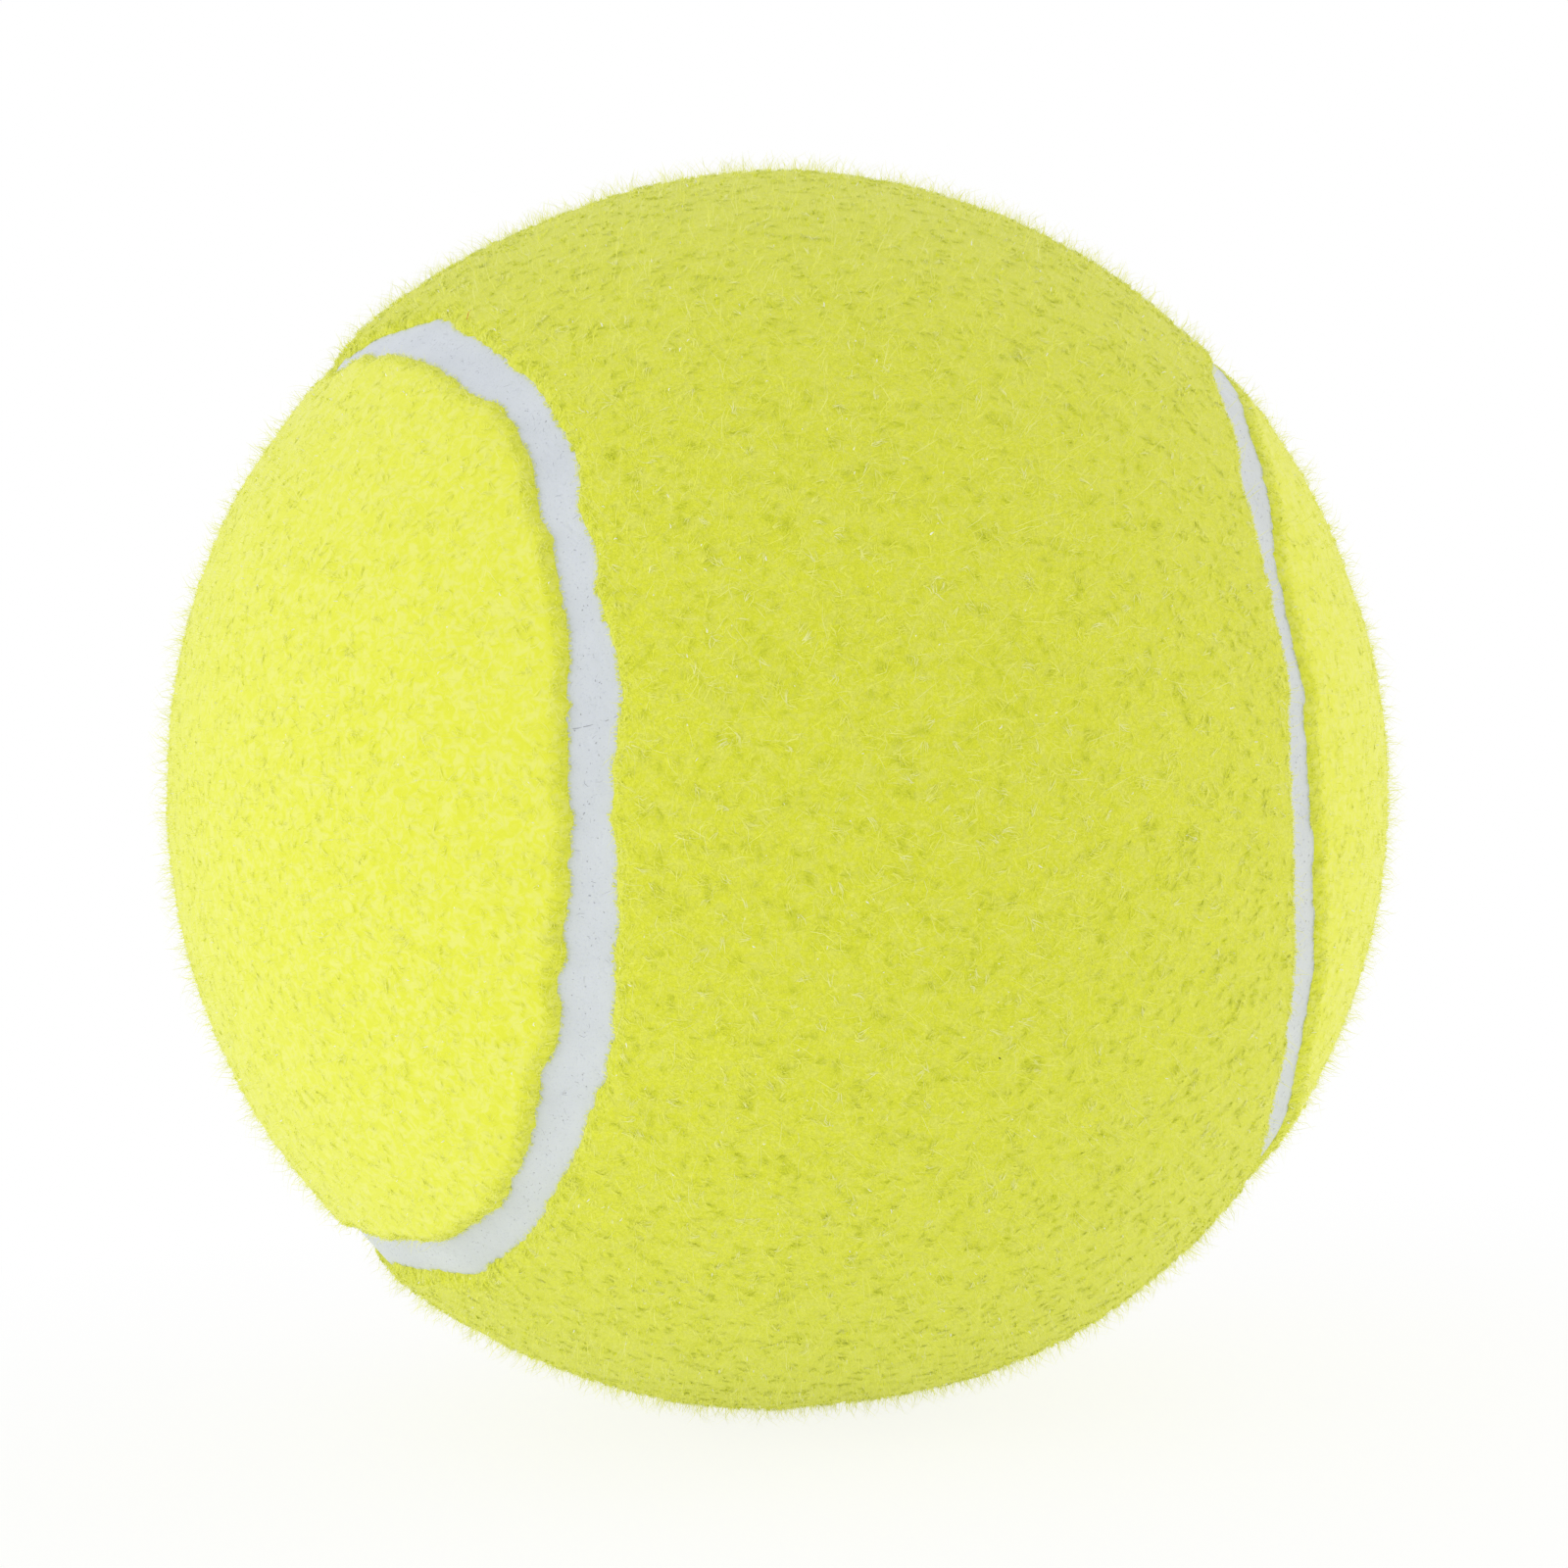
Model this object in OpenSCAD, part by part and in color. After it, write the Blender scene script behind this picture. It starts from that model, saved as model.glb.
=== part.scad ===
// Tennis ball: a hollow rubber core in two moulded halves, two interlocking
// dog-bone panels of felt, and the rubber seam that fills the valley between them.
// Millimetres. The origin is the centre of the ball, +Z is up, and the waist of
// the front panel faces -Y with its two lobes over the top and under the bottom.

/* [Ball] */
// Diameter over the raised nap
ball_d = 67; // [60:0.5:75]

/* [Felt] */
// Thickness of the woven base cloth
base_t = 0.8; // [0.5:0.1:1.2]
// Thickness of the nap that stands on the base cloth
nap_t = 2.8; // [2.2:0.1:3.5]
// Radius of the rounded edge of the nap along the seam
edge_r = 1.6; // [0.8:0.1:2]
// Height by which that rounding would stand proud of the nap where the two meet
edge_crest = 0.05; // [0.02:0.01:0.1]

/* [Seam] */
// Angle at the centre of the ball between the middle of a panel's waist and the seam
waist_angle = 32; // [27:0.5:37]
// Width of the seam rubber between the two panels
seam_w = 2.4; // [1.4:0.1:3.2]
// Depth of the seam rubber below the nap
seam_drop = 0.9; // [0.4:0.1:1.6]

/* [Core] */
// Wall of the moulded rubber halves
core_wall = 3.3; // [2.6:0.1:4]
// Thickness of the cement film between the lips of the two halves
joint_t = 0.2; // [0.1:0.05:0.4]
// Leg of the bevel round the outside of each lip
lip_bevel = 0.5; // [0.3:0.1:0.9]
// Radius of the bead of cement that is squeezed out inside the joint
bead_r = 0.7; // [0.4:0.1:1.2]
// Thickness of the coat of rubber solution over the core
coat_t = 0.15; // [0.1:0.05:0.3]

/* [Hidden] */
$fn = 128;

// How far every cutting shape runs past what it cuts
overrun = 1;
// How far the edge of a lobe stands back from the edge of the waist where they join
join_step = 0.01;

// Radii from the nap inwards
ball_r = ball_d / 2;
base_r = ball_r - nap_t;
coat_r = base_r - base_t;
core_r = coat_r - coat_t;
cavity_r = core_r - core_wall;

// The middle of the seam is four equal circular arcs on the ball, joined smoothly.
// In the frame of a panel, whose axis is +Z, arc 0 passes through the equator at
// azimuth -45 and +45 and through the point waist_angle away from the axis. So the
// arc's own axis leans arc_tilt up from the equator, and the arc lies arc_angle
// away from it. Arcs 1 to 3 follow by quarter turns, each flipped over.
arc_tilt = atan2(cos(45) - sin(waist_angle), cos(waist_angle));
arc_angle = 90 - waist_angle - arc_tilt;

seam_half = seam_w / 2;
seam_r = ball_r - seam_drop;

// Height, in the frame of the panel, at which its edge passes smoothly from one
// arc to the next. It is off the equator, as the edge lies half a seam from the arcs.
join_z = -seam_half * sin(arc_tilt) / sin(arc_angle);

// Puts its children on the axis of arc k, in the frame of the panel
module at_arc(k) {
    rotate([0, 0, 90 * k])
        mirror([0, 0, k % 2])
            rotate([0, 90 - arc_tilt, 0])
                children();
}

// Turns a panel to its place at the front of the ball
module front() {
    rotate([90, 0, 0])
        children();
}

// The back panel is the front one, a quarter turn on and flipped over
module back() {
    rotate([90, 0, 0])
        rotate([0, 0, 90])
            mirror([0, 0, 1])
                children();
}

module shell(inner_r, outer_r) {
    difference() {
        sphere(r = outer_r);
        sphere(r = inner_r);
    }
}

// All that lies above the height where the arcs join, or below it with side 1
module past_join(side) {
    size = ball_d + 4 * overrun;
    translate([0, 0, join_z])
        mirror([0, 0, side])
            translate([-size / 2, -size / 2, 0])
                cube(size);
}

// The cone about the axis of arc k whose side stands square to the surface of the
// ball, at the distance outset beyond the arc
module arc_cone(k, outset) {
    cone_h = ball_d;
    at_arc(k)
        translate([0, 0, -outset / sin(arc_angle)])
            cylinder(h = cone_h, r1 = 0, r2 = cone_h * tan(arc_angle));
}

// The waist of a panel between two radii, with its edge inset from arcs 0 and 2
module waist(inner_r, outer_r, inset) {
    difference() {
        intersection() {
            shell(inner_r, outer_r);
            past_join(0);
        }
        arc_cone(0, inset);
        arc_cone(2, inset);
    }
}

// The lobe of a panel between two radii, with its edge inset from arc k
module lobe(k, inner_r, outer_r, inset) {
    intersection() {
        shell(inner_r, outer_r);
        past_join(1);
        arc_cone(k, -inset);
    }
}

// A whole dog-bone layer, with its edge cut square along the seam
module dog_bone(inner_r, outer_r) {
    waist(inner_r, outer_r, seam_half);
    for (k = [1, 3])
        lobe(k, inner_r, outer_r, seam_half + join_step);
}

// Cross-section of the valley between the naps of the two panels, where x runs
// across the seam and y out from the centre of the ball
module valley_profile(half_w) {
    round_r = ball_r - edge_r + edge_crest;
    round_x = half_w + edge_r;
    round_y = sqrt(round_r * round_r - round_x * round_x);
    translate([-half_w, base_r - overrun])
        square([2 * half_w, ball_r - base_r + 2 * overrun]);
    difference() {
        translate([-round_x, round_y])
            square([2 * round_x, ball_r - round_y + overrun]);
        for (side = [-1, 1])
            translate([side * round_x, round_y])
                circle(r = edge_r);
    }
}

// The valley, of the given half width, carried right round the axis of arc k
module valley_ring(k, half_w) {
    at_arc(k)
        rotate_extrude()
            rotate(-arc_angle)
                valley_profile(half_w);
}

// The nap of one panel, whose edge rolls over into the valley of the seam
module nap() {
    difference() {
        waist(base_r, ball_r, 0);
        valley_ring(0, seam_half);
        valley_ring(2, seam_half);
    }
    for (k = [1, 3])
        difference() {
            lobe(k, base_r, ball_r, 0);
            valley_ring(k, seam_half + join_step);
        }
}

// One moulded half of the core, open side down, with its bevelled lip
module core_half() {
    lip_z = joint_t / 2;
    bevel_top_z = lip_z + lip_bevel;
    difference() {
        sphere(r = core_r);
        sphere(r = cavity_r);
        translate([0, 0, lip_z - core_r - overrun])
            cylinder(h = core_r + overrun, r = core_r + overrun);
        rotate_extrude()
            bevel_profile(lip_z, bevel_top_z);
    }
}

// The corner that the bevel takes off a lip
module bevel_profile(lip_z, top_z) {
    polygon([
        [core_r - lip_bevel, lip_z],
        [core_r + overrun, lip_z],
        [core_r + overrun, top_z + overrun],
        [core_r, top_z]
    ]);
}

module core_half_upper() {
    color("#6f6a5f")
        core_half();
}

module core_half_lower() {
    color("#777165")
        mirror([0, 0, 1])
            core_half();
}

// The film between the lips, the two bevels that it fills and the bead inside
module core_joint_cement() {
    color("#c9a66b")
        rotate_extrude() {
            intersection() {
                circle(r = core_r);
                union() {
                    translate([cavity_r - bead_r / 2, -joint_t / 2])
                        square([core_wall + bead_r / 2, joint_t]);
                    for (side = [0, 1])
                        mirror([0, side])
                            bevel_profile(joint_t / 2, joint_t / 2 + lip_bevel);
                }
            }
            intersection() {
                circle(r = cavity_r);
                translate([cavity_r, 0])
                    circle(r = bead_r);
            }
        }
}

module core_cement_coat() {
    color("#d8cfae")
        shell(core_r, coat_r);
}

module felt_base_front() {
    color("#e6e79a")
        front()
            dog_bone(coat_r, base_r);
}

module felt_base_back() {
    color("#e0e190")
        back()
            dog_bone(coat_r, base_r);
}

module felt_nap_front() {
    color("#d9e84a")
        front()
            nap();
}

module felt_nap_back() {
    color("#d0df45")
        back()
            nap();
}

// The closed loop that is left between the two panels
module seam_rubber() {
    color("#dfe4e6")
        difference() {
            shell(coat_r, seam_r);
            front()
                dog_bone(coat_r - overrun, seam_r + overrun);
            back()
                dog_bone(coat_r - overrun, seam_r + overrun);
        }
}

core_half_upper();
core_half_lower();
core_joint_cement();
core_cement_coat();
felt_base_front();
felt_base_back();
felt_nap_front();
felt_nap_back();
seam_rubber();
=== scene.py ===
"""Looks of the tennis ball. The seam, the two felt naps and their loose fibres are built here as
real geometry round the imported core, cement and base cloth, in the same frame. Shapes are worked
out in millimetres and written in metres."""

import math
from itertools import combinations
from typing import NamedTuple

import bpy
import numpy as np
from mathutils import Matrix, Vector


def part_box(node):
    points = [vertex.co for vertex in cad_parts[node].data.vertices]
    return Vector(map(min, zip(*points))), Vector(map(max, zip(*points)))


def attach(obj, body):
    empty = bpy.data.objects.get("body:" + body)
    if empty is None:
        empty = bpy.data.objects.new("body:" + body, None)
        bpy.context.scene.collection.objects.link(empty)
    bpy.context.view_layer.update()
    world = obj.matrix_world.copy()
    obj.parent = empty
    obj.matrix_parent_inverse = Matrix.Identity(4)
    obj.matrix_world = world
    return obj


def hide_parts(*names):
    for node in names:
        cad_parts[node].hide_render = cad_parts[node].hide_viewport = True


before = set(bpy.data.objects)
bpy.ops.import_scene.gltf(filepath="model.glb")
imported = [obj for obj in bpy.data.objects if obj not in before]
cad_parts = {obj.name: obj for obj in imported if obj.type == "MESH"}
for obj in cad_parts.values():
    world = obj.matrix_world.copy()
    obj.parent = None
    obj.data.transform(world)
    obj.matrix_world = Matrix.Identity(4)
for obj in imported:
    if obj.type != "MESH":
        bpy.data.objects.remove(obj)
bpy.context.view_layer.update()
BODY = "root"
MM = 0.001

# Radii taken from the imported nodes, in millimetres
BALL_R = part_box("felt_nap_front")[1].z / MM
BASE_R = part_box("felt_base_front")[1].z / MM
COAT_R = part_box("core_cement_coat")[1].z / MM

# The seam: four circular arcs, joined smoothly
WAIST_ANGLE = math.radians(32)
ARC_TILT = math.atan2(math.cos(math.pi / 4) - math.sin(WAIST_ANGLE), math.cos(WAIST_ANGLE))
ARC_ANGLE = math.pi / 2 - WAIST_ANGLE - ARC_TILT
HALF_SWEEP = math.acos(-math.tan(ARC_TILT) / math.tan(ARC_ANGLE))
ARC_LENGTH = 2 * HALF_SWEEP * BALL_R * math.sin(ARC_ANGLE)
LOOP_LENGTH = 4 * ARC_LENGTH
SEAM_HALF = 1.2

# The steps round the closed loop at which the felt's edges are worked out
STEPS = 4096
STEP_AT = np.arange(STEPS) * LOOP_LENGTH / STEPS

# The felt's surface lies the fuzz's depth inside the ball, and the seam's lies that drop lower.
# An edge of the felt rounds down over the roll's width, by its height
FUZZ_DEPTH, SEAM_DROP = 0.5, 0.5
ROLL_W, ROLL_H = 0.95, 0.62
SKIN_R = BALL_R - FUZZ_DEPTH
FLOOR_Z = -BALL_R


def unit(v):
    return v / np.linalg.norm(v, axis=-1, keepdims=True)


# Camera

CAMERA_BACK = unit(np.array([-0.306, -0.951, -0.051]))
CAMERA_UP = np.array([0.030, -0.063, 0.9975])
CAMERA_DISTANCE = 130.3
CAMERA_FOCAL = 2381 / 1600
CAMERA_SHIFT = (0.0031, 0.0047)
SENSOR = 36
CLIP_NEAR, CLIP_FAR = 0.005, 20


def add_camera():
    right = unit(np.cross(CAMERA_UP, CAMERA_BACK))
    up = np.cross(CAMERA_BACK, right)
    data = bpy.data.cameras.new("camera")
    data.sensor_width = SENSOR
    data.lens = CAMERA_FOCAL * SENSOR
    data.shift_x, data.shift_y = CAMERA_SHIFT
    data.clip_start, data.clip_end = CLIP_NEAR, CLIP_FAR
    camera = bpy.data.objects.new("camera", data)
    bpy.context.scene.collection.objects.link(camera)
    place = CAMERA_BACK * CAMERA_DISTANCE * MM
    rows = [(right[i], up[i], CAMERA_BACK[i], place[i]) for i in range(3)]
    camera.matrix_world = Matrix([*rows, (0, 0, 0, 1)])
    bpy.context.scene.camera = camera
    return right, up


VIEW_RIGHT, VIEW_UP = add_camera()


def toward(across, above, nearer):
    """The direction from the ball's centre that lies across, above and nearer for the camera."""
    return unit(across * VIEW_RIGHT + above * VIEW_UP + nearer * CAMERA_BACK)


# Noise

# The number of slopes, how far a seed may shift the lattice, and what brings the field to about
# -1 to 1
SLOPES, NOISE_SHIFT, NOISE_GAIN = 256, 64, 1.6


class Noise:
    """A smooth random field in space, about -1 to 1, from seeded slopes on a lattice."""

    def __init__(self, seed):
        rng = np.random.default_rng(seed)
        self.order = rng.permutation(SLOPES)
        self.slopes = unit(rng.normal(size=(SLOPES, 3)))
        self.shift = rng.uniform(0, NOISE_SHIFT, 3)

    def __call__(self, p, size):
        q = p / size + self.shift
        cell = np.floor(q).astype(np.int64)
        f = q - cell
        u = f * f * f * (f * (f * 6 - 15) + 10)
        total = np.zeros(len(q))
        for corner in np.ndindex(2, 2, 2):
            c = cell + corner
            h = self.order[c[:, 2] % SLOPES]
            h = self.order[(c[:, 1] + h) % SLOPES]
            h = self.order[(c[:, 0] + h) % SLOPES]
            w = np.prod(np.where(corner, u, 1 - u), axis=1)
            total += w * (self.slopes[h] * (f - corner)).sum(1)
        return total * NOISE_GAIN


def smooth_round(values, spread):
    """Values at the steps round the closed seam, smoothed over spread mm."""
    steps = np.fft.rfftfreq(STEPS, LOOP_LENGTH / STEPS)
    kept = np.exp(-2 * (math.pi * steps * spread) ** 2)
    return np.fft.irfft(np.fft.rfft(values) * kept, STEPS)


def wave(seed, spread, height):
    """Random values round the closed seam, smoothed over spread mm, with that typical height."""
    out = smooth_round(np.random.default_rng(seed).normal(size=STEPS), spread)
    return out * height / out.std()


# The course of the seam

# Cosine and sine of the quarter turns that take arc 0 to each of the four
TURNS = [(1, 0), (0, 1), (-1, 0), (0, -1)]


def arc_axes(x, y, z):
    """The vector turned to each arc in the frame of the front panel, then written in the row frame."""
    rows = []
    for k, (c, s) in enumerate(TURNS):
        turned = (c * x - s * y, s * x + c * y, z * (-1) ** k)
        rows.append((turned[0], -turned[2], turned[1]))
    return np.array(rows)


# Local axes of the four arcs: the arc's own axis, and the two that span its plane
ARC_A = arc_axes(math.cos(ARC_TILT), 0, math.sin(ARC_TILT))
ARC_E = arc_axes(-math.sin(ARC_TILT), 0, math.cos(ARC_TILT))
ARC_F = arc_axes(0, 1, 0)
# Which way the front panel lies from each arc
ARC_SIGN = np.array([1, -1, 1, -1])


def seam_dir(t, s):
    """The direction at place t round the seam (0 to 4) and s mm from it into the front panel."""
    k = np.floor(t).astype(int) % 4
    phi = ((t - np.floor(t)) * 2 - 1) * HALF_SWEEP
    psi = ARC_ANGLE + ARC_SIGN[k] * s / BALL_R
    flat = np.cos(phi)[:, None] * ARC_E[k] + np.sin(phi)[:, None] * ARC_F[k]
    return np.cos(psi)[:, None] * ARC_A[k] + np.sin(psi)[:, None] * flat


def seam_place(q):
    """For each direction: where the nearest point of the seam lies (t), and how far off it is (s)."""
    best_t, best_s = np.zeros(len(q)), np.full(len(q), np.inf)
    over = q[:, 1] <= 0
    plain = np.where(over, np.where(q[:, 0] > 0, 0, 2), np.where(q[:, 2] > 0, 1, 3))
    found = np.zeros(len(q), bool)
    for k in range(4):
        phi = np.arctan2(q @ ARC_F[k], q @ ARC_E[k])
        s = ARC_SIGN[k] * BALL_R * (np.arccos(np.clip(q @ ARC_A[k], -1, 1)) - ARC_ANGLE)
        inside = np.abs(phi) <= HALF_SWEEP
        take = inside & (~found | (np.abs(s) < np.abs(best_s)))
        take |= ~found & ~inside & (plain == k)
        best_t[take] = k + np.clip((phi[take] / HALF_SWEEP + 1) / 2, 0, 1 - 1e-9)
        best_s[take] = s[take]
        found |= inside
    return best_t, best_s


# How the two felt edges wander, measured along the two stretches of seam that the photograph
# shows: mm from the middle of the arc, then the back panel's edge and the front panel's edge
LEFT_SEAM = [
    (-47, -2.5, -0.9), (-44, -2.5, -0.9), (-42, -2.5, -0.8), (-40.5, -2.5, -0.9), (-39, -2.5, -1.3),
    (-37.5, -3.0, -1.9), (-36, -3.3, -1.6), (-33, -2.4, -0.8), (-31.5, -2.7, -0.3), (-30, -2.1, 0.6),
    (-28.5, -1.9, 0.7), (-27, -1.9, 0.4), (-24, -1.4, 0.8), (-21, -1.1, 1.1), (-19.5, -0.2, 1.7),
    (-18, -0.1, 1.6), (-15, 0, 1.8), (-13.5, -0.3, 1.8), (-12, -0.4, 1.2), (-10.5, -0.1, 1.3),
    (-9, -0.4, 1.6), (-7.5, -0.5, 1.2), (-6, -0.3, 1.4), (-4.5, -0.5, 1.6), (-3, -0.9, 1.9),
    (-1.5, -0.9, 1.4), (0, -1, 1), (1.5, -1, 1.1), (3, -0.9, 0.8), (4.5, -0.9, 1.3), (6, -0.7, 1.4),
    (7.5, -1.1, 1.4), (9, -0.8, 1.5), (10.5, -1.1, 1.6), (12, -0.4, 1.9), (13.5, -0.5, 1.8),
    (15, -1, 1.8), (16.5, -0.8, 1.6), (18, -0.5, 1.6), (21, -0.5, 1.4), (24, -0.4, 1.4), (27, -1, 1.2),
    (30, -1.2, 1.2), (31.5, -1.7, 1.2), (33, -2.3, 0.7), (34.5, -2.2, 0.2), (36, -2.5, 0),
    (39, -2.8, 0), (40.5, -2.7, 0.2), (42, -2.4, 1.0), (44, -1.6, 1.2), (48, -0.8, 1.3),
]
RIGHT_SEAM = [
    (-30, -0.9, 1.4), (-27, -1.8, 0.8), (-24, -2.3, 0.6), (-21, -1.5, 1.3), (-18, -1, 1.4),
    (-15, -1.1, 1.1), (-12, -1.2, 1.3), (-10.5, -0.9, 1.1), (-9, -0.7, 1.6), (-6, -0.3, 1.7),
    (-3, 0.1, 2.0), (0, 0.4, 2.1), (3, 0.2, 1.6), (6, 1.0, 2.3), (9, 1.3, 2.6), (12, 0.6, 3.1),
    (15, 0.3, 2.5), (18, 0.5, 2.5), (21, -0.4, 2.2), (24, -1.0, 0.9), (26, -0.9, 0.4), (29, -0.9, 0.6),
]
# The arcs that they lie on, and the columns that hold the two edges
MEASURED = [(2, LEFT_SEAM), (0, RIGHT_SEAM)]
BACK_COLUMN, FRONT_COLUMN = 1, 2

# Where nothing was measured the edges drift from seeds, and all round they have fine ripples. Each
# pair is a length along the seam and a height, in mm
SHARED_SEED, BACK_SEED, FRONT_SEED = 11, 21, 31
SHARED_DRIFT, OWN_DRIFT = (5.0, 0.35), (2.0, 0.12)
RIPPLES = [(0.4, 0.06), (0.15, 0.05)]
# Lengths over which a measured stretch fades out past its ends, and over which corners are smoothed
FADE_LENGTH, SMOOTHING = 6.0, 0.45


def edge_course(column, seed):
    """How far one felt edge lies from the seam's own line, at each of the steps round it."""
    sign = 1 if column == FRONT_COLUMN else -1
    drift = wave(SHARED_SEED, *SHARED_DRIFT) + wave(seed, *OWN_DRIFT)
    values = sign * SEAM_HALF + drift
    for arc, rows in MEASURED:
        at = np.array([r[0] for r in rows]) + (arc + 0.5) * ARC_LENGTH
        told = np.interp(STEP_AT, at, [r[column] for r in rows])
        share = np.clip(np.minimum(STEP_AT - at[0], at[-1] - STEP_AT) / FADE_LENGTH + 1, 0, 1)
        values = values * (1 - share) + told * share
    values = smooth_round(values, SMOOTHING)
    for i, ripple in enumerate(RIPPLES, 1):
        values = values + wave(seed + i, *ripple)
    return values


EDGE_BACK = edge_course(BACK_COLUMN, BACK_SEED)
EDGE_FRONT = edge_course(FRONT_COLUMN, FRONT_SEED)


def edges_at(t):
    """How far the back panel's edge and the front one's lie from the seam's own line at t."""
    along = t * ARC_LENGTH
    return (
        np.interp(along, STEP_AT, EDGE_BACK, period=LOOP_LENGTH),
        np.interp(along, STEP_AT, EDGE_FRONT, period=LOOP_LENGTH),
    )


# The felt's surface

LUMPS = Noise(1)
DIMPLES = Noise(2)
SEAM_GRAIN = Noise(3)

# The felt's relief, as noise, height and size in mm, and the seam's, as height and size
FELT_RELIEF = [(LUMPS, 0.05, 4.2), (LUMPS, 0.025, 1.7), (DIMPLES, 0.02, 0.8)]
SEAM_RELIEF = [(0.03, 1.9), (0.015, 0.6)]
# Share of the felt's relief that is left at its very edge
EDGE_RELIEF = 0.3
# The seam's section is hollow by this much, and its pits have a size, a depth, and the least noise
# at which there is one
SEAM_HOLLOW = 0.05
PIT_SIZE, PIT_DEPTH, PIT_LEAST = 0.33, 0.12, 0.45
# How far the seam runs in under the felt's edge
OVERLAP = 0.12

# How far the felt stands out of a true ball all round the outline that the photograph shows:
# degrees from the right, counted upwards, and mm
OUTLINE = [
    (-180, 0.03), (-160, 0.12), (-150, 0.2), (-140, 0.18), (-134, 0.2), (-128, 0.4), (-120, 0.36),
    (-110, 0.3), (-100, 0.38), (-90, 0.3), (-84, 0.12), (-76, 0.25), (-60, 0.32), (-45, 0.0),
    (-32, 0.05), (-20, -0.08), (0, -0.12), (10, -0.08), (20, -0.18), (38, 0.1), (50, 0.02), (60, 0.18),
    (75, 0.32), (90, 0.5), (105, 0.33), (115, 0.25), (125, 0.45), (132, 0.58), (138, 0.3), (145, 0.25),
    (155, 0.3), (165, 0.18), (175, 0.03), (180, 0.03),
]
# Where the outline lies towards the camera, and how far its form fades out on either side, in radii
OUTLINE_DEPTH, OUTLINE_SPREAD = 0.25, 0.4

# Shares by which the valley along the seam gets shallower towards the top and the right of the ball
SHALLOWER_UP, SHALLOWER_RIGHT = 0.3, 0.25
# Where the valley is filled up most, as the camera sees it: across, above and nearer, and how far
FILLED = [(-0.62, -0.75, 0.2, 0.55), (0.78, -0.6, 0.15, 0.45), (0.7, 0.7, 0.15, 0.45)]
FILLED_SPREAD = 0.14


def ball_form(q):
    """How far the felt stands out of a true ball, in mm."""
    angle = np.degrees(np.arctan2(q @ VIEW_UP, q @ VIEW_RIGHT))
    near = np.exp(-(((q @ CAMERA_BACK - OUTLINE_DEPTH) / OUTLINE_SPREAD) ** 2))
    return near * np.interp(angle, *zip(*OUTLINE))


def felt_lumps(q):
    p = q * BALL_R
    return sum(height * noise(p, size) for noise, height, size in FELT_RELIEF)


def valley(q):
    """Depth of the valley along the seam, as a share of its depth half way up the ball's left."""
    depth = 1 - SHALLOWER_UP * q[:, 2] - SHALLOWER_RIGHT * np.maximum(q[:, 0], 0)
    for across, above, nearer, fill in FILLED:
        place = toward(across, above, nearer)
        depth -= fill * np.exp(-(((q - place) / FILLED_SPREAD) ** 2).sum(1))
    return depth


def roll(d, q):
    """How far the felt's edge rounds down at d mm inside it."""
    u = np.clip(1 - d / ROLL_W, 0, 1)
    return ROLL_H * valley(q) * (1 - np.sqrt(1 - u * u))


def felt_radius(q, d):
    """Radius of the felt's surface at d mm inside its edge."""
    return SKIN_R + ball_form(q) + felt_lumps(q) * np.clip(d, EDGE_RELIEF, 1) - roll(d, q)


def seam_radius(q, x):
    """Radius of the seam's surface at x across it, from -1 to 1: hollow, a little lumpy and pitted."""
    p = q * BALL_R
    hollow = SEAM_HOLLOW * x**2
    for height, size in SEAM_RELIEF:
        hollow = hollow + height * SEAM_GRAIN(p, size)
    pits = np.clip(SEAM_GRAIN(p, PIT_SIZE) - PIT_LEAST, 0, 1) * PIT_DEPTH
    return SKIN_R - SEAM_DROP * valley(q) + ball_form(q) + hollow - pits


def skin(q):
    """Radius of the outermost surface in each direction, how far that lies inside a felt's edge,
    less than 0 over the seam, and whether it is on the front panel's side."""
    t, s = seam_place(q)
    back, front = edges_at(t)
    in_front = s > (back + front) / 2
    d = np.where(in_front, s - front, back - s)
    r = felt_radius(q, d)
    bare = d <= 0
    x = (2 * s - back - front) / (front - back + 2 * OVERLAP)
    r[bare] = seam_radius(q[bare], x[bare])
    return r, d, in_front


def onto_floor(p):
    """The nap is pressed flat where the ball rests."""
    p[:, 2] = np.maximum(p[:, 2], FLOOR_Z)
    return p


# Meshes


def add_mesh(name, points, faces, material, replaces=(), smooth=True):
    """A piece from points in mm and triangles, riding on the ball's body."""
    mesh = bpy.data.meshes.new(name)
    mesh.vertices.add(len(points))
    mesh.vertices.foreach_set("co", (points * MM).astype(np.float32).ravel())
    mesh.loops.add(faces.size)
    mesh.loops.foreach_set("vertex_index", faces.astype(np.int32).ravel())
    mesh.polygons.add(len(faces))
    mesh.polygons.foreach_set("loop_start", np.arange(0, faces.size, 3, dtype=np.int32))
    mesh.update(calc_edges=True)
    mesh.polygons.foreach_set("use_smooth", np.full(len(faces), smooth))
    mesh.materials.append(material)
    piece = bpy.data.objects.new(name, mesh)
    bpy.context.scene.collection.objects.link(piece)
    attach(piece, BODY)
    if replaces:
        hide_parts(*replaces)
    return piece


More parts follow.
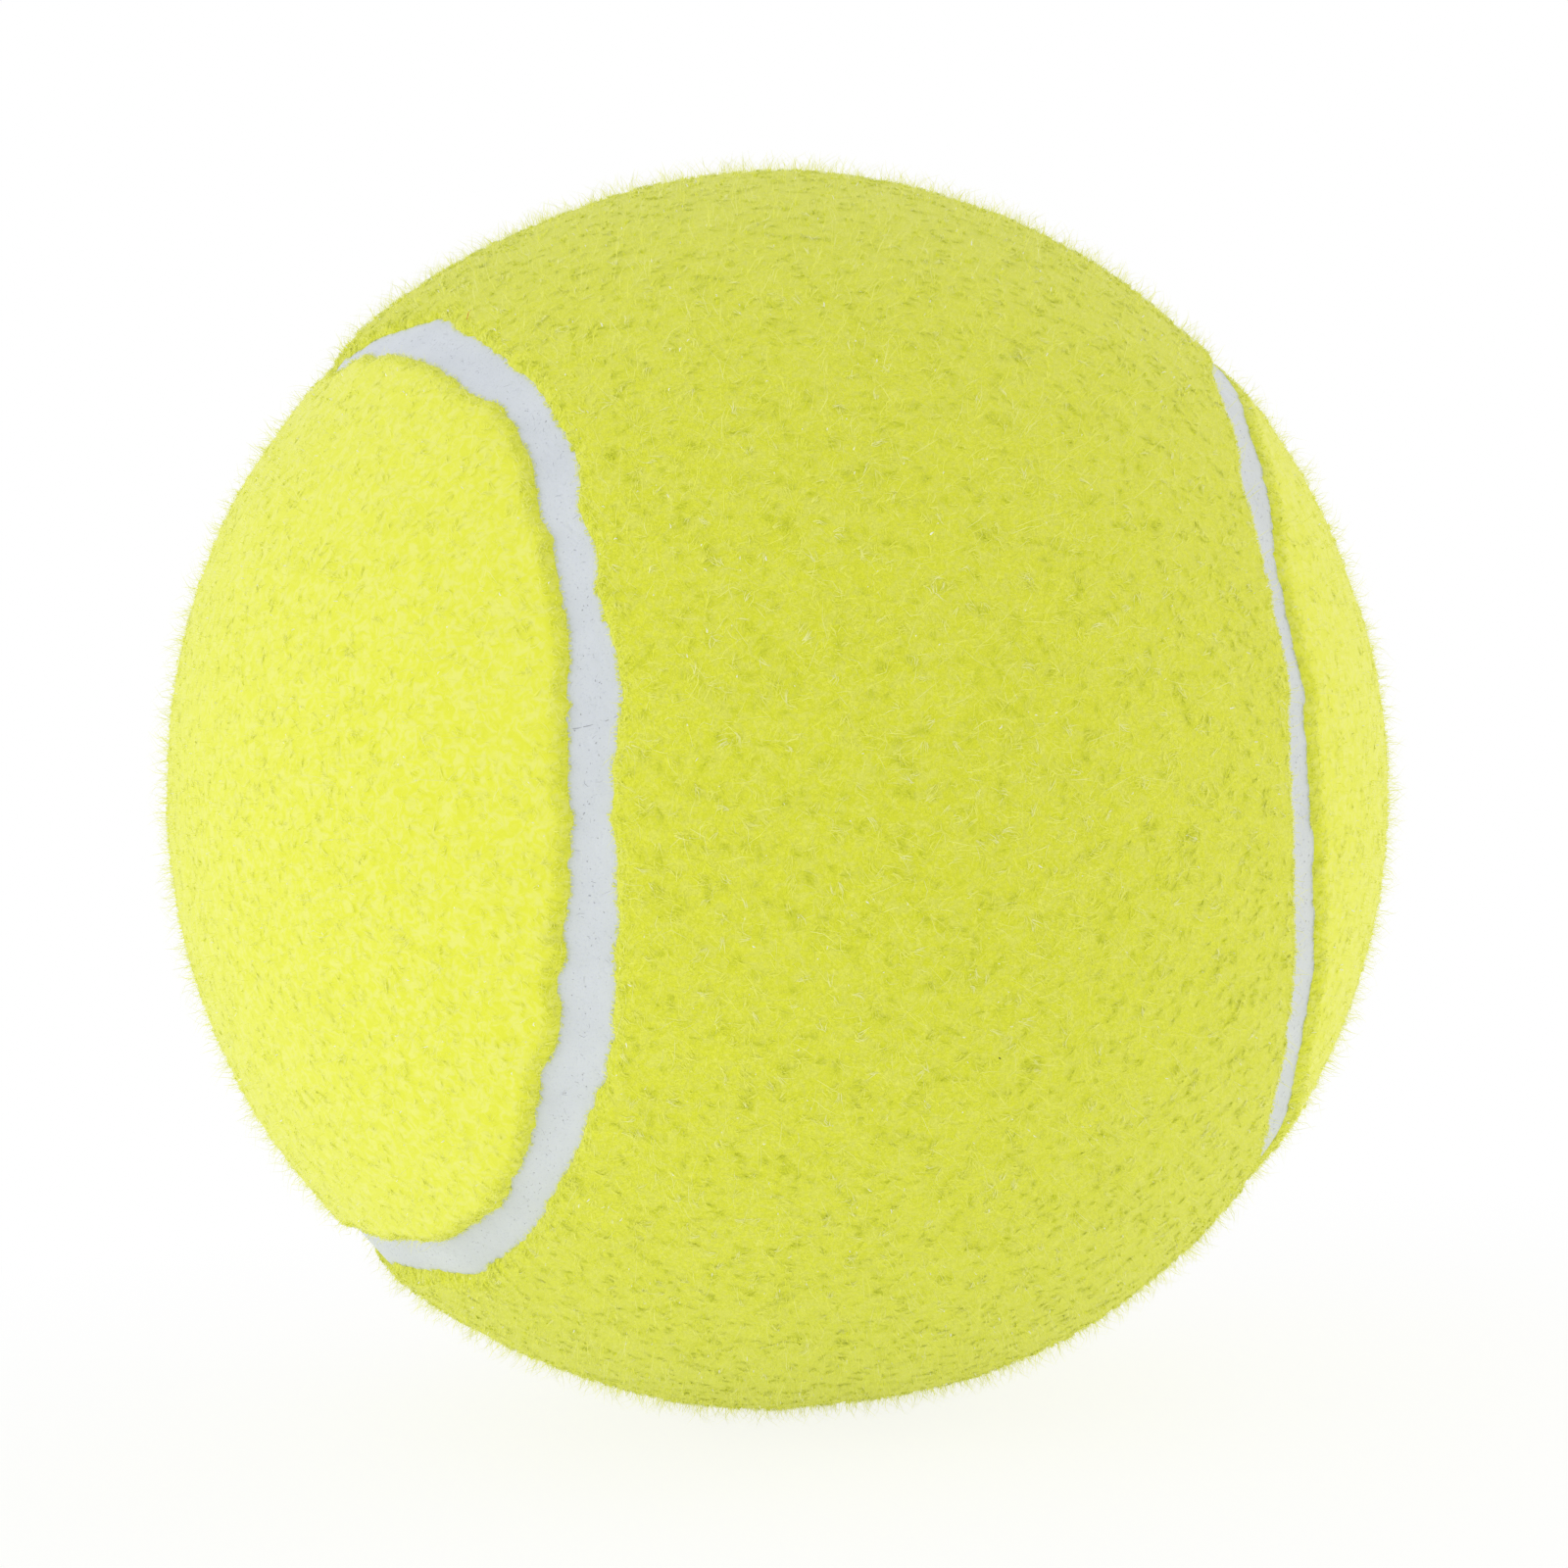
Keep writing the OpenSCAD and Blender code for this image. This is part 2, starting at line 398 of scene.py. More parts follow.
def geodesic(cuts):
    """Unit directions and triangles of an icosahedron whose edges are cut into that many."""
    g = (1 + math.sqrt(5)) / 2
    corners = [(0, a, b * g) for a in (-1, 1) for b in (-1, 1)]
    corners = np.array(corners + [(z, x, y) for x, y, z in corners] + [(y, z, x) for x, y, z in corners])
    gaps = np.linalg.norm(corners[:, None] - corners[None], axis=2)
    joined = np.abs(gaps - 2) < 0.01
    grid = [(i, j) for i in range(cuts + 1) for j in range(cuts + 1 - i)]
    index = {ij: n for n, ij in enumerate(grid)}
    small = [(index[i, j], index[i + 1, j], index[i, j + 1]) for i, j in grid if i + j < cuts]
    small += [
        (index[i + 1, j], index[i + 1, j + 1], index[i, j + 1]) for i, j in grid if i + j < cuts - 1
    ]
    ij = np.array(grid) / cuts
    points, tris = [], []
    for a, b, c in combinations(range(12), 3):
        if joined[a, b] and joined[b, c] and joined[a, c]:
            pa, pb, pc = corners[[a, b, c]]
            if np.dot(np.cross(pb - pa, pc - pa), pa) <= 0:
                pb, pc = pc, pb
            points.append(pa + ij[:, :1] * (pb - pa) + ij[:, 1:] * (pc - pa))
            tris.append(np.array(small) + len(grid) * len(tris))
    points = unit(np.vstack(points))
    _, first, back = np.unique(np.round(points, 6), axis=0, return_index=True, return_inverse=True)
    return points[first], back.ravel()[np.vstack(tris)]


# Points this near to the line of a cut, in edges of a triangle, are moved onto it
SNAP = 0.3


def cut_panel(points, tris, side, level):
    """The triangles that lie more than level mm inside one panel, cut off along that line, with
    the points of the rim in their order round the seam."""
    points = points.copy()
    t, s = seam_place(points)
    inside = side * s - level
    edge = math.sqrt(4 * math.pi * BALL_R**2 / len(tris) * 2)
    near = np.abs(inside) < SNAP * edge
    points[near] = seam_dir(t[near], np.full(near.sum(), side * level))
    sign = np.where(near, 0, np.sign(inside)).astype(int)
    low, high = sign[tris].min(1), sign[tris].max(1)
    whole = tris[(low >= 0) & (high > 0)]
    extra, made, cuts = [], {}, []
    for face in tris[(low < 0) & (high > 0)]:
        ring = []
        for a, b in zip(face, np.roll(face, -1), strict=True):
            if sign[a] >= 0:
                ring.append(a)
            if sign[a] * sign[b] < 0:
                key = (min(a, b), max(a, b))
                if key not in made:
                    share = abs(inside[a]) / (abs(inside[a]) + abs(inside[b]))
                    made[key] = len(points) + len(extra)
                    extra.append(points[a] * (1 - share) + points[b] * share)
                ring.append(made[key])
        cuts += [(ring[0], ring[i], ring[i + 1]) for i in range(1, len(ring) - 1)]
    t, _ = seam_place(unit(np.array(extra)))
    points = np.vstack([points, seam_dir(t, np.full(len(extra), side * level))])
    faces = np.vstack([whole, np.array(cuts)])
    used, faces = np.unique(faces, return_inverse=True)
    faces = faces.reshape(-1, 3)
    points = points[used]
    pairs = np.vstack([faces[:, [0, 1]], faces[:, [1, 2]], faces[:, [2, 0]]])
    keys, counts = np.unique(np.sort(pairs, axis=1), axis=0, return_counts=True)
    rim = np.unique(keys[counts == 1])
    t, _ = seam_place(points[rim])
    order = np.argsort(t)
    return points, faces, rim[order], t[order]


def zip_rings(a, ta, b, tb, flip):
    """Triangles between two closed rings of points, each sorted by its place round the seam."""
    faces, i, j = [], 0, 0
    n, m = len(a), len(b)
    while i < n or j < m:
        next_a = ta[(i + 1) % n] + 4 * ((i + 1) // n)
        next_b = tb[(j + 1) % m] + 4 * ((j + 1) // m)
        if j >= m or (i < n and next_a <= next_b):
            faces.append((a[i % n], a[(i + 1) % n], b[j % m]))
            i += 1
        else:
            faces.append((a[i % n], b[(j + 1) % m], b[j % m]))
            j += 1
    faces = np.array(faces)
    return faces[:, ::-1] if flip else faces


def ring_faces(rows, columns, flip, start=0):
    """Triangles of a grid of rows by columns that closes on itself along its columns."""
    i, j = np.meshgrid(np.arange(rows - 1), np.arange(columns), indexing="ij")
    a, b = i * columns + j, i * columns + (j + 1) % columns
    c, d = b + columns, a + columns
    faces = np.stack([a, b, c, a, c, d], -1).reshape(-1, 3) + start
    return faces[:, ::-1] if flip else faces


# Cuts of the triangles on a nap's top and underneath. More would pass the export's 200,000 a piece
OUTER_CUTS, INNER_CUTS = 116, 34
# The finer band along a nap's edge: how far in from the seam's own line, its columns round the
# seam, and its rows across the flat part and across the roll
BAND = 5.2
COLUMNS, FLAT_ROWS, ROLL_ROWS = 2080, 10, 9
# How far a nap sinks into its base cloth, and how far above that its wall has a row of points
SINK, WALL_H = 0.03, 0.9


def nap_mesh(name, side, grid, coarse, material, node):
    """One felt nap: its lumpy top, the edge that rounds down along the seam, and its underside.
    Side is 1 for the front panel and -1 for the back one."""
    top, top_faces, rim, rim_t = cut_panel(*grid, side, BAND)
    under, under_faces, hem, hem_t = cut_panel(*coarse, side, BAND)
    t = np.arange(COLUMNS) * 4 / COLUMNS
    edge = edges_at(t)[1 if side > 0 else 0]
    turns = np.linspace(0, math.pi / 2, ROLL_ROWS)
    depths = [np.full(COLUMNS, ROLL_W * (1 - math.sin(a))) for a in turns[1:]]
    room = BAND - side * edge - ROLL_W
    flats = [ROLL_W + room * i / FLAT_ROWS for i in range(FLAT_ROWS - 1, -1, -1)]
    rows = []
    for d in flats + depths:
        q = seam_dir(t, edge + side * d)
        rows.append(q * felt_radius(q, d)[:, None])
    wall = seam_dir(t, edge)
    rows += [wall * (BASE_R + WALL_H), wall * (BASE_R - SINK)]
    strip = np.vstack(rows)
    r, _, _ = skin(top)
    points = np.vstack([top * r[:, None], strip, under * (BASE_R - SINK)])
    strip_start, under_start = len(top), len(top) + len(strip)
    first = strip_start + np.arange(COLUMNS)
    last = first + (len(rows) - 1) * COLUMNS
    flip = side < 0
    faces = np.vstack([
        top_faces,
        ring_faces(len(rows), COLUMNS, not flip, strip_start),
        zip_rings(rim, rim_t, first, t, not flip),
        under_faces[:, ::-1] + under_start,
        zip_rings(last, t, hem + under_start, hem_t, not flip),
    ])
    return add_mesh(name, onto_floor(points), faces, material, (node,))


SEAM_COLUMNS, SEAM_ROWS = 2300, 22
# Room between the seam rubber and the base cloths beside it and under its wings, and below its foot
STEM_ROOM, WING_ROOM, FOOT_ROOM = 0.02, 0.03, 0.01


def seam_mesh(material):
    """The seam rubber: a matt, slightly hollow ribbon between the naps, on a stem down to the core."""
    t = np.arange(SEAM_COLUMNS) * 4 / SEAM_COLUMNS
    back, front = edges_at(t)
    left, right = back - OVERLAP, front + OVERLAP
    rows = []
    for x in np.linspace(-1, 1, SEAM_ROWS):
        s = left + (right - left) * (x + 1) / 2
        q = seam_dir(t, s)
        rows.append(q * seam_radius(q, x)[:, None])
    stem = SEAM_HALF - STEM_ROOM
    stem_right, stem_left = np.minimum(right, stem), np.maximum(left, -stem)
    wing, foot = BASE_R + WING_ROOM, COAT_R + FOOT_ROOM
    for s, radius in (
        (right, wing), (stem_right, wing), (stem_right, foot),
        (stem_left, foot), (stem_left, wing), (left, wing),
    ):
        rows.append(seam_dir(t, s) * radius)
    # A last row that is the first one again closes the section
    points = np.vstack(rows)
    faces = ring_faces(len(rows) + 1, SEAM_COLUMNS, False) % len(points)
    return add_mesh("seam_line", onto_floor(points), faces, material, ("seam_rubber",))


# Fibres

SWIRL = Noise(4)
MOTTLE = Noise(5)
# Segments of a fibre, sides of its section, and how thick that is for its width
SEGMENTS, SIDES, FLATNESS = 2, 3, 0.3
# So many fibres stay under the export's limit of 200,000 triangles a piece
FIBRES_A_PIECE = 19600
# How far a fibre may hang over the seam, in mm
OVERHANG = 0.12
# Shares of a step: the least that runs along the surface, the least that stays of one that is cut
# short, and the most that the surface under a fibre drops
LEAST_RUN, LEAST_LEFT, MOST_DROP = 0.2, 0.15, 0.9
# Share of its cell in the map that a fibre fills, and the margin before it
CELL_FILL, CELL_MARGIN = 0.86, 0.07


def tangents(q):
    """Two directions that span the surface at each direction from the centre."""
    other = np.where(np.abs(q[:, 2:3]) < 0.8, [[0, 0, 1.0]], [[1.0, 0, 0]])
    e = unit(np.cross(other, q))
    return e, np.cross(q, e)


def over_surface(q, e, f, place):
    """The direction that lies place mm from q along its two tangents."""
    return unit(q * BALL_R + e * place[:, :1] + f * place[:, 1:])


def fibre_lines(q, heading, length, bend, rises, overhang=OVERHANG):
    """The nodes of each fibre: it runs over the surface at the given heights above it, and ends
    where it would hang further than overhang mm over the seam."""
    e, f = tangents(q)
    step = length / SEGMENTS
    place = np.zeros((len(q), 2))
    r, d, _ = skin(q)
    nodes = [q * (r + rises[:, 0])[:, None]]
    for j in range(SEGMENTS):
        angle = heading + bend * (j + 0.5) / SEGMENTS
        climb = np.clip(rises[:, j + 1] - rises[:, j], -1, 1)
        run = np.sqrt(np.maximum(step**2 - climb**2, (LEAST_RUN * step) ** 2))
        move = np.stack([np.cos(angle), np.sin(angle)], 1) * run[:, None]
        way = over_surface(q, e, f, place + move)
        next_r, next_d, _ = skin(way)
        cut = next_d < -overhang
        share = np.clip((d[cut] + overhang) / np.maximum(d[cut] - next_d[cut], 0.001), LEAST_LEFT, 1)
        move[cut] *= share[:, None]
        way[cut] = over_surface(q[cut], e[cut], f[cut], place[cut] + move[cut])
        next_r[cut], next_d[cut], _ = skin(way[cut])
        place = place + move
        r, d = np.maximum(next_r, r - MOST_DROP * step), next_d
        nodes.append(way * (r + rises[:, j + 1])[:, None])
    return np.stack(nodes, 1)


def fibre_mesh(name, lines, width, tone, material):
    """Closed, tapering, three-sided fibres along those lines, each with its own cell of the map."""
    n = len(lines)
    along = unit(np.gradient(lines, axis=1))
    side = unit(np.cross(along, unit(lines)))
    up = np.cross(side, along)
    angles = 2 * math.pi * np.arange(SIDES) / SIDES - math.pi / 2
    rings = []
    for j in range(SEGMENTS):
        for a in angles:
            out = math.cos(a) * side[:, j] + FLATNESS * math.sin(a) * up[:, j]
            rings.append(lines[:, j] + out * (width / 2)[:, None])
    points = np.stack([*rings, lines[:, -1]], 1)
    tip = SEGMENTS * SIDES
    faces, cells = [(2, 1, 0)], [((0, 0), (0, 1), (0.1, 0.5))]
    for j in range(SEGMENTS - 1):
        u0, u1 = j / SEGMENTS, (j + 1) / SEGMENTS
        for i in range(SIDES):
            a, b = j * SIDES + i, j * SIDES + (i + 1) % SIDES
            faces += [(a, b, b + SIDES), (a, b + SIDES, a + SIDES)]
            cells += [((u0, 0), (u0, 1), (u1, 1)), ((u0, 0), (u1, 1), (u1, 0))]
    last = (SEGMENTS - 1) / SEGMENTS
    for i in range(SIDES):
        a, b = tip - SIDES + i, tip - SIDES + (i + 1) % SIDES
        faces.append((a, b, tip))
        cells.append(((last, 0), (last, 1), (1, 0.5)))
    many = (np.array(faces)[None] + (np.arange(n) * (tip + 1))[:, None, None]).reshape(-1, 3)
    piece = add_mesh(name, onto_floor(points.reshape(-1, 3)), many, material, smooth=False)
    mesh = piece.data
    tones = mesh.attributes.new("tone", "FLOAT", "POINT")
    tones.data.foreach_set("value", np.repeat(tone, tip + 1).astype(np.float32))
    across = math.ceil(math.sqrt(n))
    cell = np.array(cells).reshape(1, -1, 2) * CELL_FILL + CELL_MARGIN
    corner = np.stack([np.arange(n) % across, np.arange(n) // across], 1)[:, None]
    layer = mesh.uv_layers.new(name="OFBake", do_init=False)
    layer.uv.foreach_set("vector", ((cell + corner) / across).astype(np.float32).ravel())
    return piece


class Kind(NamedTuple):
    """How many fibres of a kind there are, how many lie together in a bunch, the share of those on
    the back panel that is kept, the ranges of their length and width in mm, and their typical
    bend in radians."""

    count: int
    bunch: int
    on_back: float
    length: tuple
    width: tuple
    bend: float


# The back panel's felt is the smoother of the two. An upright fibre's length is so many times its
# height
MATTED = Kind(150000, 6, 0.5, (0.3, 0.9), (0.03, 0.046), 0.9)
UPRIGHT = Kind(100000, 2, 0.6, (1.25, 1.9), (0.016, 0.025), 1.2)
STRAY = Kind(3000, 1, 1.0, (0.5, 1.2), (0.018, 0.026), 1.6)
# The glint fibres are white, a painted highlight: their colour stands in for light glinting off the felt
PAINTED_GLINT = Kind(2400, 1, 1.0, (0.08, 0.26), (0.04, 0.08), 1.0)
EDGE = Kind(24000, 1, 1.0, (0.25, 0.8), (0.026, 0.042), 0.7)

FIBRE_SEED = 77
# Fibres of a bunch start about so far apart, in mm, and at least so far inside a felt's edge
BUNCH_SPREAD, LEAST_INSIDE = 0.045, 0.03
# Places drawn for each fibre wanted, as some fall on the seam
SPARE = 1.15
# Heights above the surface, in mm, of the three nodes of fibres that lie in it: least and most
MATTED_RISES = [(-0.08, -0.03), (0.02, 0.14), (-0.04, 0.12)]
EDGE_RISES = [(-0.1, -0.03), (0.03, 0.16), (0.0, 0.12)]
# Matted fibres head along a swirl, and their tones follow a mottle: amount, and size in mm. The
# bunches stray from the swirl by that many radians, and the fibres from their bunch
SWIRL_TURN, SWIRL_SIZE = 2.6 * math.pi, 3.0
BUNCH_TURN, FIBRE_TURN = 1.0, 0.2
MOTTLE_TONE, MOTTLE_SIZE = 0.12, 0.8
# The beta distribution that a bunch's tone is drawn from, how far a fibre's is off it, its share
# and limit that are used, and how the tones on the back panel are brought together
TONE_DRAW, TONE_SPREAD = (0.7, 1.1), 0.06
MATTED_TONE, MOST_MATTED = 0.9, 0.85
BACK_TONE, BACK_CONTRAST = 0.42, 0.35


def bunched(rng, bunch, spread, draw):
    """The same draw for all the fibres of a bunch, each a little off."""
    shared = draw(bunch.max() + 1)[bunch]
    return shared + rng.normal(0, spread, len(bunch))


def any_way(rng, n):
    """Headings all round."""
    return rng.uniform(0, 2 * math.pi, n)


def drawn_rises(rng, n, ranges):
    """Heights of the nodes of n fibres, each node's from a range of its own."""
    return np.stack([rng.uniform(least, most, n) for least, most in ranges], 1)


def matted(rng, q, bunch):
    """Tufts of fibres that lie in the matted surface, roughly the same way as their neighbours."""
    n = len(q)
    p = q * BALL_R
    rises = drawn_rises(rng, n, MATTED_RISES)
    turned = bunched(rng, bunch, FIBRE_TURN, lambda k: rng.normal(0, BUNCH_TURN, k))
    heading = SWIRL_TURN * SWIRL(p, SWIRL_SIZE) + turned
    bend = bunched(rng, bunch, FIBRE_TURN, lambda k: rng.normal(0, MATTED.bend, k))
    lines = fibre_lines(q, heading, rng.uniform(*MATTED.length, n), bend, rises)
    tone = bunched(rng, bunch, TONE_SPREAD, lambda k: rng.beta(*TONE_DRAW, k))
    tone = MATTED_TONE * (tone + MOTTLE_TONE * MOTTLE(p, MOTTLE_SIZE))
    return lines, rng.uniform(*MATTED.width, n), np.clip(tone, 0, MOST_MATTED)


def upright(rng, q, _):
    """The short fuzz that stands on the felt and softens its outline, a few fibres much taller. Their
    pale tones are partly painted light, the glow of fuzz lit from behind.
    """
    n = len(q)
    least, typical, most = 0.15, 0.36, 1.0
    height = least + np.minimum(rng.exponential(typical, n), most)
    length = height * rng.uniform(*UPRIGHT.length, n)
    root, middle = -0.08, 0.55 * height
    rises = np.stack([np.full(n, root), middle, height], 1)
    lines = fibre_lines(q, any_way(rng, n), length, rng.normal(0, UPRIGHT.bend, n), rises)
    # Pale tones: partly the fuzz's own colour, partly painted glow of fuzz lit from behind
    return lines, rng.uniform(*UPRIGHT.width, n), rng.uniform(0.5, 0.86, n)


def stray(rng, q, _):
    """A few longer fibres that have worked loose."""
    n = len(q)
    height = rng.uniform(0.3, 0.8, n)
    root, middle, tip = -0.05, 0.8 * height, height * rng.uniform(0.4, 1.2, n)
    rises = np.stack([np.full(n, root), middle, tip], 1)
    length = rng.uniform(*STRAY.length, n)
    lines = fibre_lines(q, any_way(rng, n), length, rng.normal(0, STRAY.bend, n), rises)
    return lines, rng.uniform(*STRAY.width, n), rng.uniform(0.6, 0.95, n)


def painted_glints(rng, q, bunch):
    """Short white fibres, a painted highlight: their white stands in for light glinting off the felt as
    specks.
    """
    n = len(q)
    height = rng.uniform(0.15, 0.25, n)
    slope = 0.1
    rises = np.stack([height - slope, height, height + rng.uniform(-slope, slope, n)], 1)
    heading = bunched(rng, bunch, 0.5, lambda k: any_way(rng, k))
    length = rng.uniform(*PAINTED_GLINT.length, n)
    lines = fibre_lines(q, heading, length, rng.normal(0, PAINTED_GLINT.bend, n), rises)
    # Tone 1 is the ramp's white: painted glints of light
    return lines, rng.uniform(*PAINTED_GLINT.width, n), np.ones(n)


def felt_roots(rng, kind):
    """Random places on the felt, in bunches, none on the seam. Also each one's panel and bunch."""
    bunch = np.repeat(np.arange(math.ceil(kind.count * SPARE / kind.bunch)), kind.bunch)
    middle = unit(rng.normal(size=(bunch[-1] + 1, 3)))[bunch]
    q = unit(middle * BALL_R + rng.normal(0, BUNCH_SPREAD, middle.shape))
    _, d, front = skin(q)
    keep = np.flatnonzero(d > LEAST_INSIDE)[:kind.count]
    if kind.on_back < 1:
        keep = keep[front[keep] | (rng.random(len(keep)) < kind.on_back)]
    return q[keep], front[keep], bunch[keep]


def edge_fibres(rng):
    """Short fibres on the rounded edges that lean over the seam and make its outline ragged."""
    n = EDGE.count
    t = rng.uniform(0, 4, n)
    front = rng.random(n) < 0.5
    back_edge, front_edge = edges_at(t)
    side = np.where(front, 1, -1)
    depth = rng.uniform(0.02, 0.8, n)
    edge = np.where(front, front_edge, back_edge)
    q = seam_dir(t, edge + side * depth)
    ahead = seam_dir(t, edge + side * (depth - 0.1)) - q
    e, f = tangents(q)
    heading = np.arctan2((ahead * f).sum(1), (ahead * e).sum(1)) + rng.normal(0, 0.9, n)
    rises = drawn_rises(rng, n, EDGE_RISES)
    length = rng.uniform(*EDGE.length, n)
    lines = fibre_lines(q, heading, length, rng.normal(0, EDGE.bend, n), rises)
    return lines, rng.uniform(*EDGE.width, n), rng.uniform(0.0, 0.8, n), front


def add_fibres(material):
    """All the fibres of the felt, shuffled and shared out over pieces of each panel."""
    rng = np.random.default_rng(FIBRE_SEED)
    made = []
    for kind, make in ((MATTED, matted), (UPRIGHT, upright), (STRAY, stray), (PAINTED_GLINT, painted_glints)):
        q, front, bunch = felt_roots(rng, kind)
        lines, width, tone = make(rng, q, bunch)
        if kind is MATTED:
            tone = np.where(front, tone, BACK_TONE + BACK_CONTRAST * tone)
        made.append((lines, width, tone, front))
    made.append(edge_fibres(rng))
    lines, widths, tones, fronts = (np.concatenate(part) for part in zip(*made, strict=True))
    order = rng.permutation(len(lines))
    for side, panel in ((True, "front"), (False, "back")):
        mine = order[fronts[order] == side]
        for i, start in enumerate(range(0, len(mine), FIBRES_A_PIECE), 1):
            part = mine[start:start + FIBRES_A_PIECE]
            name = f"nap_fibres_{panel}_{i}"
            fibre_mesh(name, lines[part], widths[part], tones[part], material)


# Marks

MARK_SEED = 91
# Marks on the seam, and how many of them are specks. The rest are scratches
MARKS, SPECKS = 1500, 950
SPECK_LENGTH, SPECK_WIDTH = (0.05, 0.13), (0.03, 0.07)
SCRATCH_LENGTH, SCRATCH_WIDTH = (0.15, 0.5), (0.014, 0.024)
MARK_BEND, MARK_TONE = 1.4, (0, 0.6)

# A hairline crack across the seam starts just before the middle of the left arc. Its points are a
# share of the way across, and mm along the seam from that start
# The crack is drawn as grey strands laid on the seam, not cut into it: its line is painted shade
CRACK_AT = 2.5 - 1.6 / ARC_LENGTH
CRACKS = [
    [(0.09, 0.04), (0.2, 0.05), (0.3, 0.02), (0.41, 0.0), (0.51, -0.05)],
    [(0.72, -0.12), (0.8, -0.17), (0.89, -0.22), (0.98, -0.33), (1.0, -0.36)],
]
CRACK_WIDTH, CRACK_RISE = 0.04, 0.002

# Two bits of lint on the felt: the directions of its start and its end, its width and its tone
LINT = [
    ((-0.584, -0.4748, 0.6584), (-0.5723, -0.4682, 0.6733), 0.05, 1.0),
    ((-0.0124, -0.9147, -0.4038), (-0.0100, -0.9143, -0.4049), 0.07, 0.8),
]
# Heights of their three nodes above the felt
LINT_RISES = [0.2, 0.3, 0.26]


def seam_marks(material):
    """Specks, short curved scratches and the hairline crack, drawn out as fine grey strands. The crack's
    line is painted shade, laid on the seam and not cut into it.
    """
    rng = np.random.default_rng(MARK_SEED)
    n = MARKS
    t = rng.uniform(0, 4, n)
    back, front = edges_at(t)
    share = np.clip(rng.normal(0.5, 0.2, n), 0.07, 0.93)
    q = seam_dir(t, back + (front - back) * share)
    speck = np.arange(n) < SPECKS
    length = np.where(speck, rng.uniform(*SPECK_LENGTH, n), rng.uniform(*SCRATCH_LENGTH, n))
    width = np.where(speck, rng.uniform(*SPECK_WIDTH, n), rng.uniform(*SCRATCH_WIDTH, n))
    heading, bend = any_way(rng, n), rng.normal(0, MARK_BEND, n)
    lines = fibre_lines(q, heading, length, bend, np.zeros((n, SEGMENTS + 1)), math.inf)
    cracks = []
    for path in CRACKS:
        across, along = np.transpose(path)
        t = CRACK_AT + along / ARC_LENGTH
        back, front = edges_at(t)
        q = seam_dir(t, back + (front - back) * across)
        nodes = q * (skin(q)[0] + CRACK_RISE)[:, None]
        cracks += [nodes[i:i + SEGMENTS + 1] for i in range(0, len(path) - SEGMENTS, SEGMENTS)]
    lines = np.concatenate([lines, np.array(cracks)])
    width = np.concatenate([width, np.full(len(cracks), CRACK_WIDTH)])
    tone = rng.uniform(*MARK_TONE, len(lines))
    fibre_mesh("seam_marks", lines, width, tone, material)


def felt_lint(material):
    lines = []
    for start, end, _, _ in LINT:
        q = unit(np.array([start, np.add(start, end) / 2, end]))
        lines.append(q * (skin(q)[0] + LINT_RISES)[:, None])
    width, tone = (np.array([row[i] for row in LINT]) for i in (2, 3))
    fibre_mesh("felt_lint", np.array(lines), width, tone, material)


# Materials


def new_material(name, roughness, specular):
    material = bpy.data.materials.new(name)
    material.use_nodes = True
    tree = material.node_tree
    shader = tree.nodes["Principled BSDF"]
    shader.inputs["Roughness"].default_value = roughness
    shader.inputs["Specular IOR Level"].default_value = specular
    return material, tree, shader


def feed(tree, socket, value):
    """Gives an input its value: another node's socket, a number, or a plain colour."""
    if isinstance(value, bpy.types.NodeSocket):
        tree.links.new(value, socket)
    else:
        socket.default_value = (*value, 1) if isinstance(value, tuple) else value


def add_node(tree, kind, values=(), **links):
    """A node with its settings and input values, and links given as input name to socket."""
    node = tree.nodes.new(kind)
    for name, value in dict(values).items():
        if name in node.inputs:
            node.inputs[name].default_value = value
        else:
            setattr(node, name, value)
    for name, source in links.items():
        tree.links.new(source, node.inputs[name])
    return node


def object_place(tree):
    return add_node(tree, "ShaderNodeTexCoord").outputs["Object"]


def noise_node(tree, place, size_mm, detail, roughness=0.5, distortion=0.0):
    values = {
        "Scale": 1 / (size_mm * MM), "Detail": detail, "Roughness": roughness, "Distortion": distortion,
    }
    return add_node(tree, "ShaderNodeTexNoise", values, Vector=place).outputs["Fac"]


def ramp_node(tree, factor, stops):
    node = add_node(tree, "ShaderNodeValToRGB", (), Fac=factor)
    ramp = node.color_ramp
    while len(ramp.elements) < len(stops):
        ramp.elements.new(0.5)
    for element, (at, colour) in zip(ramp.elements, stops, strict=True):
        element.position = at
        element.color = (*colour, 1)
    return node.outputs["Color"]


def mix_node(tree, factor, a, b, blend="MIX"):
    """A mix of two colours by a factor, all of them sockets or plain values."""
    node = tree.nodes.new("ShaderNodeMix")
    node.data_type = "RGBA"
    node.blend_type = blend
    for i, value in ((0, factor), (6, a), (7, b)):
        feed(tree, node.inputs[i], value)
    return node.outputs[2]


def math_node(tree, operation, a, b):
    node = tree.nodes.new("ShaderNodeMath")
    node.operation = operation
    feed(tree, node.inputs[0], a)
    feed(tree, node.inputs[1], b)
    return node.outputs[0]


def range_node(tree, value, least, most):
    """The value, from 0 to 1, brought to run from least to most."""
    node = add_node(tree, "ShaderNodeMapRange", {"To Min": least, "To Max": most}, Value=value)
    return node.outputs["Result"]


def bump_node(tree, shader, height, depth_mm, strength=1.0):
    values = {"Strength": strength, "Distance": depth_mm * MM}
    node = add_node(tree, "ShaderNodeBump", values, Height=height)
    tree.links.new(node.outputs["Normal"], shader.inputs["Normal"])


def add_sheen(shader, weight, tint):
    """The soft edge light of short fibres."""
    shader.inputs["Sheen Weight"].default_value = weight
    shader.inputs["Sheen Roughness"].default_value = 0.5
    shader.inputs["Sheen Tint"].default_value = (*tint, 1)


